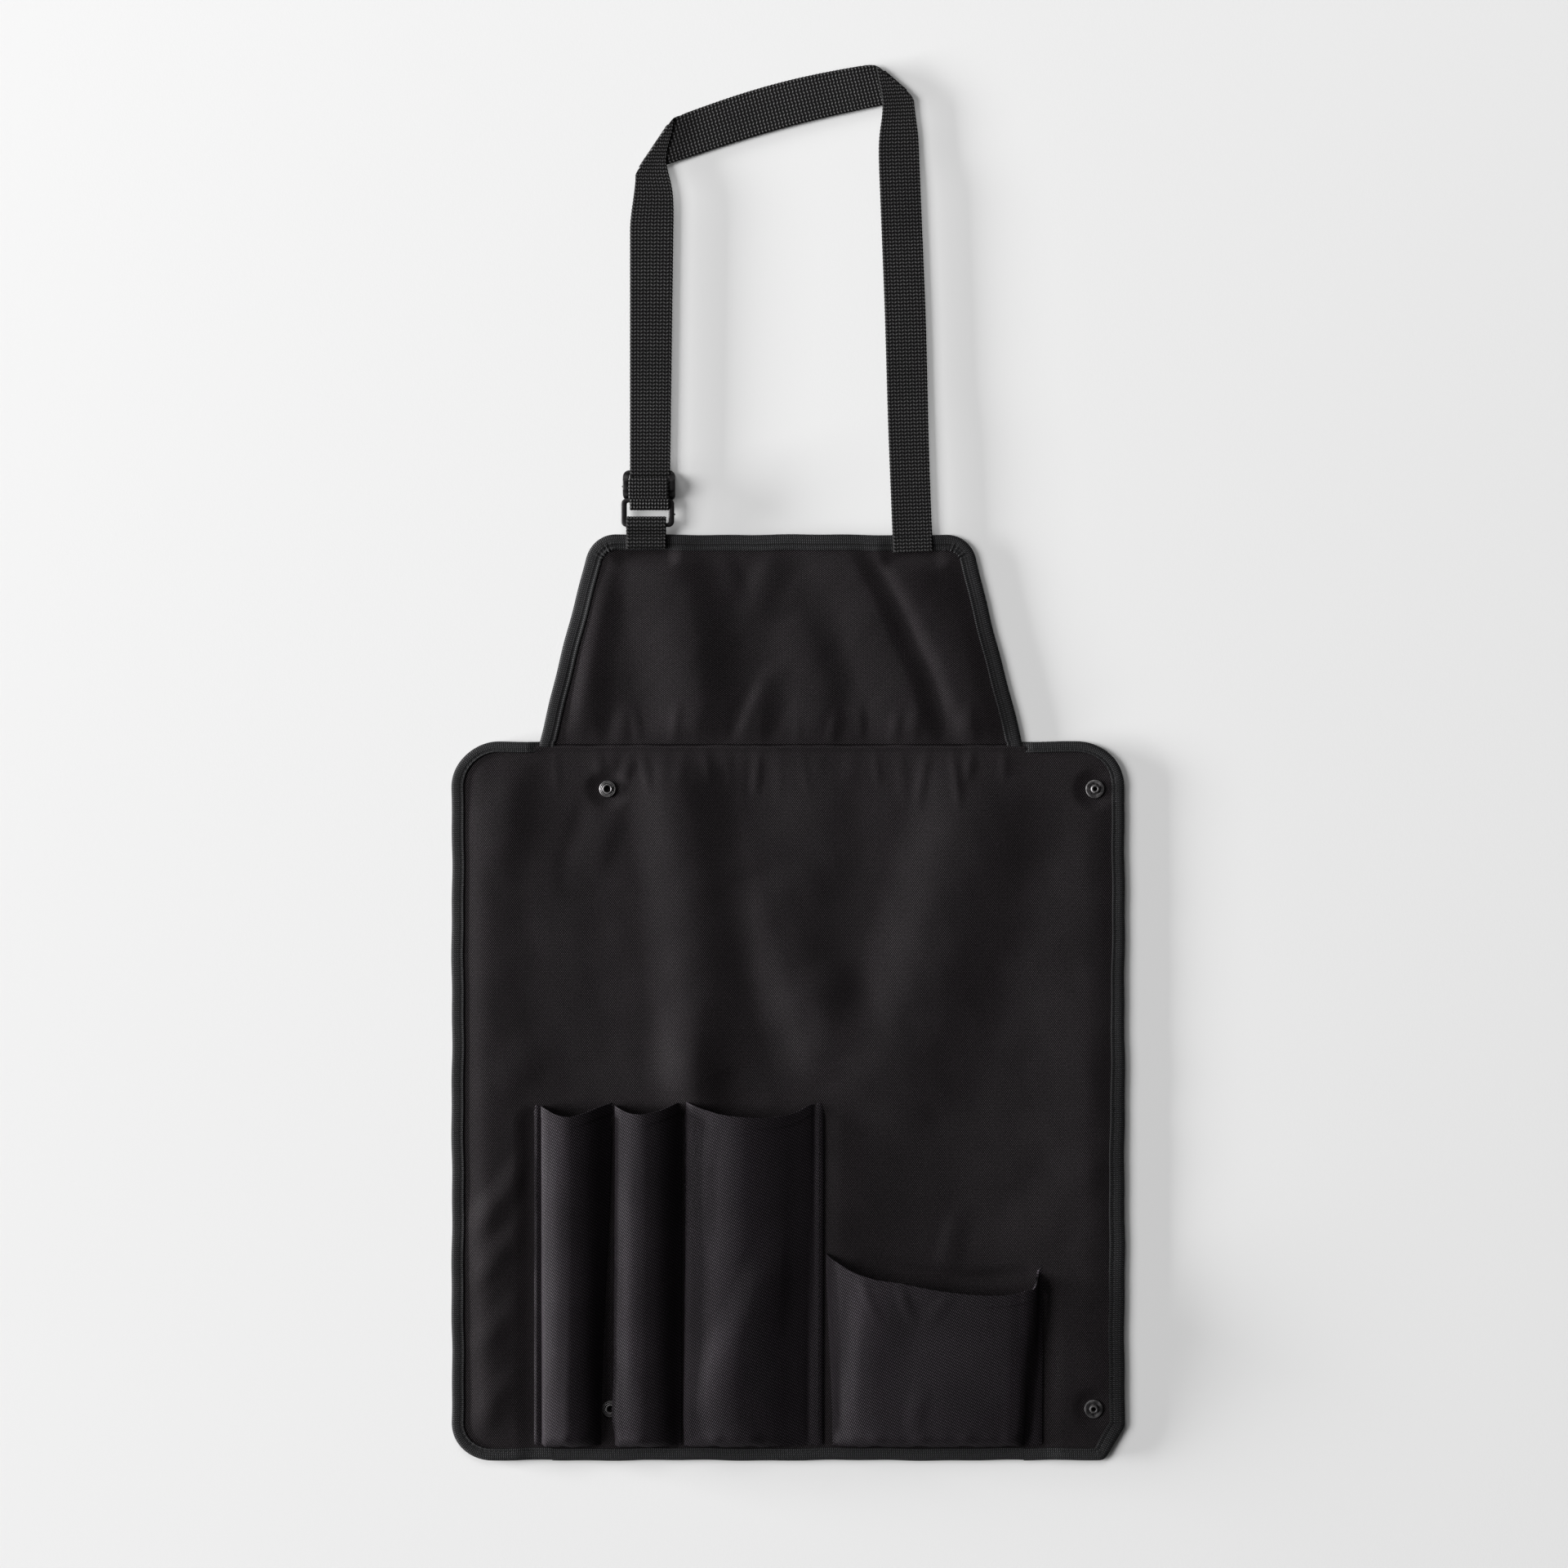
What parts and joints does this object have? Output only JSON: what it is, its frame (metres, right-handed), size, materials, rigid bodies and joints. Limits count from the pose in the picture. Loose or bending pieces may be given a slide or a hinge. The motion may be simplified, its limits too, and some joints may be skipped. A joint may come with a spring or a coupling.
{
  "type": "artist apron",
  "caption": "Black bib apron lying flat, with bound edges, tall tool pockets, a wide pocket, snaps on the body and an adjustable webbing neck strap.",
  "frame": {"origin": "middle of the whole outline across and along the apron, at the surface it lies on", "axes": "+X to the viewer's right of the front, +Y from the hem up to the neck strap, +Z out of the front, up from the surface"},
  "size_m": [0.428, 0.888, 0.0171],
  "materials": {
    "cloth": "coated woven polyester, fine diagonal dot weave, soft low sheen",
    "pocket_cloth": "coated twill, fine diagonal lines",
    "tape": "ribbed binding tape, matte",
    "webbing": "coarse woven polypropylene webbing",
    "buckle_plastic": "moulded, satin",
    "snap_metal": "black oxide, worn bright on the rims"
  },
  "bodies": {
    "body": {"body_panel": "cloth", "hem_binding": "tape", "shoulder_binding": "tape", "tool_pocket_1": "pocket_cloth", "tool_pocket_2": "pocket_cloth", "tool_pocket_3": "pocket_cloth", "mitt_pocket": "pocket_cloth", "snap_upper_left_socket": "snap_metal", "snap_upper_left_spring": "snap_metal", "snap_upper_left_cap": "snap_metal", "snap_lower_left_socket": "snap_metal", "snap_lower_left_spring": "snap_metal", "snap_lower_left_cap": "snap_metal"},
    "left_side": {"left_side_panel": "cloth", "left_side_binding": "tape"},
    "right_side": {"right_side_panel": "cloth", "right_side_binding": "tape", "snap_upper_right_stud": "snap_metal", "snap_upper_right_cap": "snap_metal", "snap_lower_right_stud": "snap_metal", "snap_lower_right_cap": "snap_metal"},
    "bib": {"bib_panel": "cloth", "bib_binding": "tape", "strap_tab": "webbing", "neck_strap_anchor": "webbing"},
    "neck_loop": {"neck_strap": "webbing", "strap_ring": "buckle_plastic"},
    "slider": {"strap_slider": "buckle_plastic", "strap_tail": "webbing"}
  },
  "joints": [
    {"name": "bib_fold", "type": "hinge", "parent": "body", "child": "bib", "pos_m": [0, 0.0105, 0.0028], "axis": [1, 0, 0], "range_deg": [0, 90]},
    {"name": "left_side_fold", "type": "hinge", "parent": "body", "child": "left_side", "pos_m": [-0.163, 0, 0.0028], "axis": [0, 1, 0], "range_deg": [0, 90]},
    {"name": "right_side_fold", "type": "hinge", "parent": "body", "child": "right_side", "pos_m": [0.165, 0, 0.0028], "axis": [0, -1, 0], "range_deg": [0, 90]},
    {"name": "neck_loop_swing", "type": "hinge", "parent": "bib", "child": "neck_loop", "pos_m": [0, 0.15095, 0.00595], "axis": [1, 0, 0], "range_deg": [0, 85]},
    {"name": "slider_travel", "type": "slide", "parent": "neck_loop", "child": "slider", "axis": [0, 1, 0], "range_m": [0, 0.17]}
  ]
}
